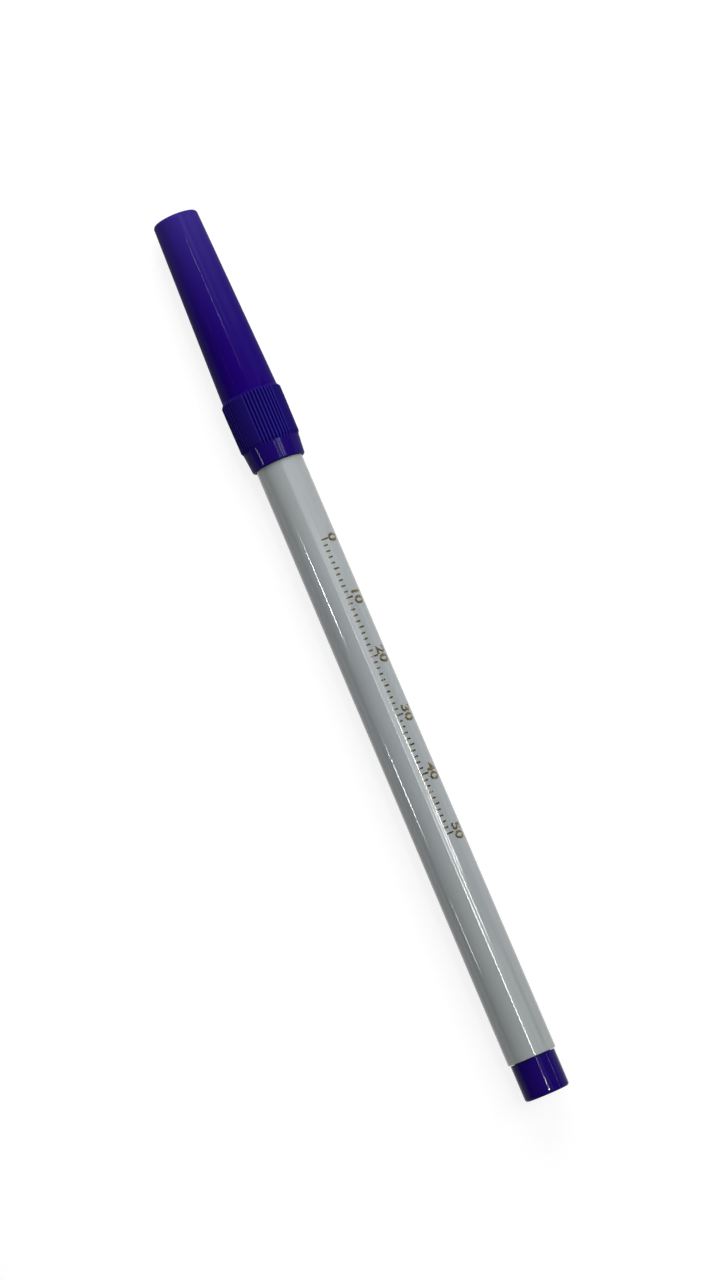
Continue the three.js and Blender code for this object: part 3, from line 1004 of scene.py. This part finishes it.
inner_corners = [
    (inner_high.x - inner_end_wall, 0, 0),
    (inner_high.x - inner_end_wall, inner_bore_radius, moulded_rounding),
    (inner_low.x, inner_bore_radius, fine_rounding),
    (inner_low.x, inner_flange_radius, fine_rounding),
    (inner_low.x + inner_flange_length, inner_flange_radius, fine_rounding),
    (inner_low.x + inner_flange_length, inner_radius, 0),
    (inner_high.x, inner_radius, moulded_rounding),
    (inner_high.x, 0, 0),
]
white_cup = white_plastic("white_cup", inner_high.x)
inner_cap = turned("sealing_cup", inner_corners, inner_segments, white_cup)
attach(inner_cap, "cap")
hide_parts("inner_cap")


# Cap. Violet polypropylene with three finishes from one mould: a polished skirt at the mouth, a
# frosted band with fine grip grooves in four groups, and a satin shank that tapers to a flat end.
cap_bore_radius = 3.975 * mm
lip_radius = 4.40 * mm
lip_edge = 0.3 * mm
skirt_end = cap_low.x + 3.35 * mm
skirt_radius = 4.72 * mm
band_start = skirt_end + 0.4 * mm
band_lower_radius = 4.93 * mm
band_full = skirt_end + 6 * mm
band_end = skirt_end + 8.15 * mm
band_radius = (cap_high.z - cap_low.z) / 2
band_swell_rounding = 4 * mm
band_edge = 0.15 * mm
shank_start = band_end + 0.5 * mm
shank_radius = 4.625 * mm
cap_end_radius = 3.72 * mm
cap_edge = 0.55 * mm
cup_seat_radius = 3.35 * mm
cup_seat_start = inner_low.x + inner_flange_length + seat_gap
cup_seat_end = inner_high.x + seat_gap
cap_end_bore_radius = 2.92 * mm
cap_end_wall = 1.4 * mm
cap_segments = 480
smallest_distance = 0.01 * mm
land_margin_pitches = 0.6
violet_colour = (0.0135, 0.0012, 0.162)
# Painted sheen: the shank's colour turns lighter and greyer towards the cap's end, in place of
# reflected light from beyond the end.
violet_painted_sheen_colour = (0.037, 0.021, 0.228)
violet_band_colour = (0.0135, 0.0068, 0.142)
# Painted light on the band: the grooves are painted darker as painted shade, and the lands among
# them lighter as a painted highlight on their crests.
violet_groove_painted_shade_colour = (0.0035, 0.0002, 0.095)
violet_land_painted_highlight_colour = (0.0275, 0.0190, 0.215)
painted_sheen_power = 2.3
groove_painted_shade_range = (0.05, 0.5)
cap_roughness = 0.4
cap_mark_roughness = 0.12
cap_mark_dulling = 0.25
cap_relief = 0.0025 * mm
cap_wear = 0.4
cap_gloss = 0.004
skirt_coat = 0.105
shank_coat = 0.065
coat_roughness = 0.03
frost_per_metre = 9000.0
frost_strength = 0.8
groove_inputs = {
    "Groups": 4,
    "Grooves in a group": 9,
    "Pitch in degrees": 6.75,
    "First group in degrees": 15.75,
    "Groove width in degrees": 5.8,
    "Groove depth": 0.17 * mm,
    "Band radius": band_radius,
    "Axis height": axis_height,
}


def groove_valley(tree, aside, rise, given):
    """How deep in a groove a point lies, from 0 to 1, by its place round the axis, and whether it
    is among the grooves of a group. `given` holds the sizes, as numbers or as a tree's inputs."""
    turn = calc(tree, "DEGREES", calc(tree, "ARCTAN2", calc(tree, "MULTIPLY", aside, -1.0), rise))
    pitch = given["Pitch in degrees"]
    group_half = calc(tree, "DIVIDE", 180.0, given["Groups"])
    from_first = calc(tree, "SUBTRACT", turn, given["First group in degrees"])
    in_group = calc(tree, "WRAP", from_first, group_half, calc(tree, "MULTIPLY", group_half, -1.0))
    outermost = calc(tree, "DIVIDE", calc(tree, "SUBTRACT", given["Grooves in a group"], 1.0), 2.0)
    nearest = calc(tree, "ROUND", calc(tree, "DIVIDE", in_group, pitch))
    nearest = calc(tree, "MINIMUM", nearest, outermost)
    nearest = calc(tree, "MAXIMUM", nearest, calc(tree, "MULTIPLY", outermost, -1.0))
    off_groove = calc(tree, "SUBTRACT", in_group, calc(tree, "MULTIPLY", nearest, pitch))
    groove_half = calc(tree, "DIVIDE", given["Groove width in degrees"], 2.0)
    share = calc(tree, "DIVIDE", calc(tree, "ABSOLUTE", off_groove), groove_half)
    share = calc(tree, "MINIMUM", share, 1.0)
    wave = calc(tree, "COSINE", calc(tree, "MULTIPLY", share, math.pi))
    reach = calc(tree, "MULTIPLY", pitch, calc(tree, "ADD", outermost, land_margin_pitches))
    inside = calc(tree, "LESS_THAN", calc(tree, "ABSOLUTE", in_group), reach)
    return calc(tree, "ADD", 0.5, calc(tree, "MULTIPLY", 0.5, wave)), inside


violet_cap, tree = new_material("violet_cap_plastic")
skin = place_group(tree, moulded_skin, Grain_per_metre=2600.0, Grain_share=0.3, Scratches=0.5)
wear = place_group(tree, edge_wear, Sharpness=0.54, Spots_per_metre=1300.0)["Wear"]
spot = coordinates(tree)
on_band = ramp(tree, spot["X"], skirt_end - lip_edge, skirt_end)
on_shank = ramp(tree, spot["X"], band_end, shank_start)
frost = noise(tree, frost_per_metre, 2)
dull_marks = calc(tree, "MAXIMUM", skin["Marks"], wear)
roughness = calc(tree, "ADD", cap_roughness, calc(tree, "MULTIPLY", dull_marks, cap_mark_roughness))
grip = calc(tree, "SUBTRACT", on_band, on_shank)
polish = calc(tree, "SUBTRACT", 1.0, calc(tree, "MULTIPLY", dull_marks, cap_mark_dulling))
on_skirt = calc(tree, "MULTIPLY", calc(tree, "SUBTRACT", 1.0, on_band), skirt_coat)
coat = calc(tree, "ADD", on_skirt, calc(tree, "MULTIPLY", on_shank, shank_coat))
frosting = calc(tree, "MULTIPLY", calc(tree, "MULTIPLY", frost, grip), frost_strength)
height = calc(tree, "ADD", skin["Height"], frosting)
above_axis = calc(tree, "SUBTRACT", spot["Z"], axis_height)
valley, among = groove_valley(tree, spot["Y"], above_axis, groove_inputs)
# Painted shade in the grooves and a painted highlight on the lands among them; the plain panels
# keep the band's own colour.
lands_painted_lighter = blend(tree, among, violet_band_colour, violet_land_painted_highlight_colour)
ribbed_painted_light = blend(tree, ramp(tree, valley, *groove_painted_shade_range), lands_painted_lighter, violet_groove_painted_shade_colour)
# The shank is painted lighter towards its end, a painted sheen standing in for light from beyond
# the cap's end.
past_band = calc(tree, "SUBTRACT", spot["X"], shank_start)
along_shank = calc(tree, "DIVIDE", past_band, cap_high.x - shank_start, clamp=True)
painted_sheen_share = calc(tree, "POWER", along_shank, painted_sheen_power)
shank_colour_with_painted_sheen = blend(tree, painted_sheen_share, violet_colour, violet_painted_sheen_colour)
smooth = blend(tree, on_shank, violet_polished_colour, shank_colour_with_painted_sheen)
base = blend(tree, grip, smooth, ribbed_painted_light)
colour = blend(tree, calc(tree, "MULTIPLY", wear, cap_wear), base, violet_worn_colour)
surface(
    tree,
    colour,
    roughness,
    height,
    cap_relief,
    Specular_IOR_Level=cap_gloss,
    Coat_Weight=calc(tree, "MULTIPLY", coat, polish),
    Coat_Roughness=coat_roughness,
)

tree, entry, leave, keys = geometry_tree("grip_grooves", {**groove_inputs, "Plastic": violet_cap})
spot = point_parts(tree)
rise = calc(tree, "SUBTRACT", spot["Z"], entry["Axis height"])
squares = [calc(tree, "MULTIPLY", side, side) for side in (spot["Y"], rise)]
distance = calc(tree, "SQRT", calc(tree, "ADD", *squares))
valley, among = groove_valley(tree, spot["Y"], rise, entry)
depth = calc(tree, "MULTIPLY", entry["Groove depth"], valley)
highest = calc(tree, "SUBTRACT", entry["Band radius"], depth)
at_least = calc(tree, "MAXIMUM", distance, smallest_distance)
kept = calc(tree, "DIVIDE", calc(tree, "MINIMUM", distance, highest), at_least)
kept_sides = [calc(tree, "MULTIPLY", side, kept) for side in (spot["Y"], rise)]
grooved = moved_points(tree, entry["Geometry"], spot["X"], *kept_sides, entry["Axis height"])
closing_nodes(tree, grooved, entry["Plastic"], leave)

cap_corners = [
    (cap_high.x - cap_end_wall, 0, 0),
    (cap_high.x - cap_end_wall, cap_end_bore_radius, moulded_rounding),
    (cup_seat_end, cap_end_bore_radius, fine_rounding),
    (cup_seat_end, cup_seat_radius, 0),
    (cup_seat_start, cup_seat_radius, fine_rounding),
    (cup_seat_start, cap_bore_radius, 0),
    (cap_low.x, cap_bore_radius, fine_rounding),
    (cap_low.x, lip_radius, lip_edge),
    (skirt_end, skirt_radius, fine_rounding),
    (band_start, band_lower_radius, fine_rounding),
    (band_full, band_radius, band_swell_rounding),
    (band_end, band_radius, band_edge),
    (shank_start, shank_radius, band_edge),
    (cap_high.x, cap_end_radius, cap_edge),
    (cap_high.x, gate_radius, fine_rounding),
    (cap_high.x - gate_depth, gate_radius, fine_rounding),
    (cap_high.x - gate_depth, 0, 0),
]
cap = turned("cap_moulding", cap_corners, cap_segments, violet_cap)
grown(cap, tree, keys, {**groove_inputs, "Plastic": violet_cap})
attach(cap, "cap")
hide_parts("cap_shell")
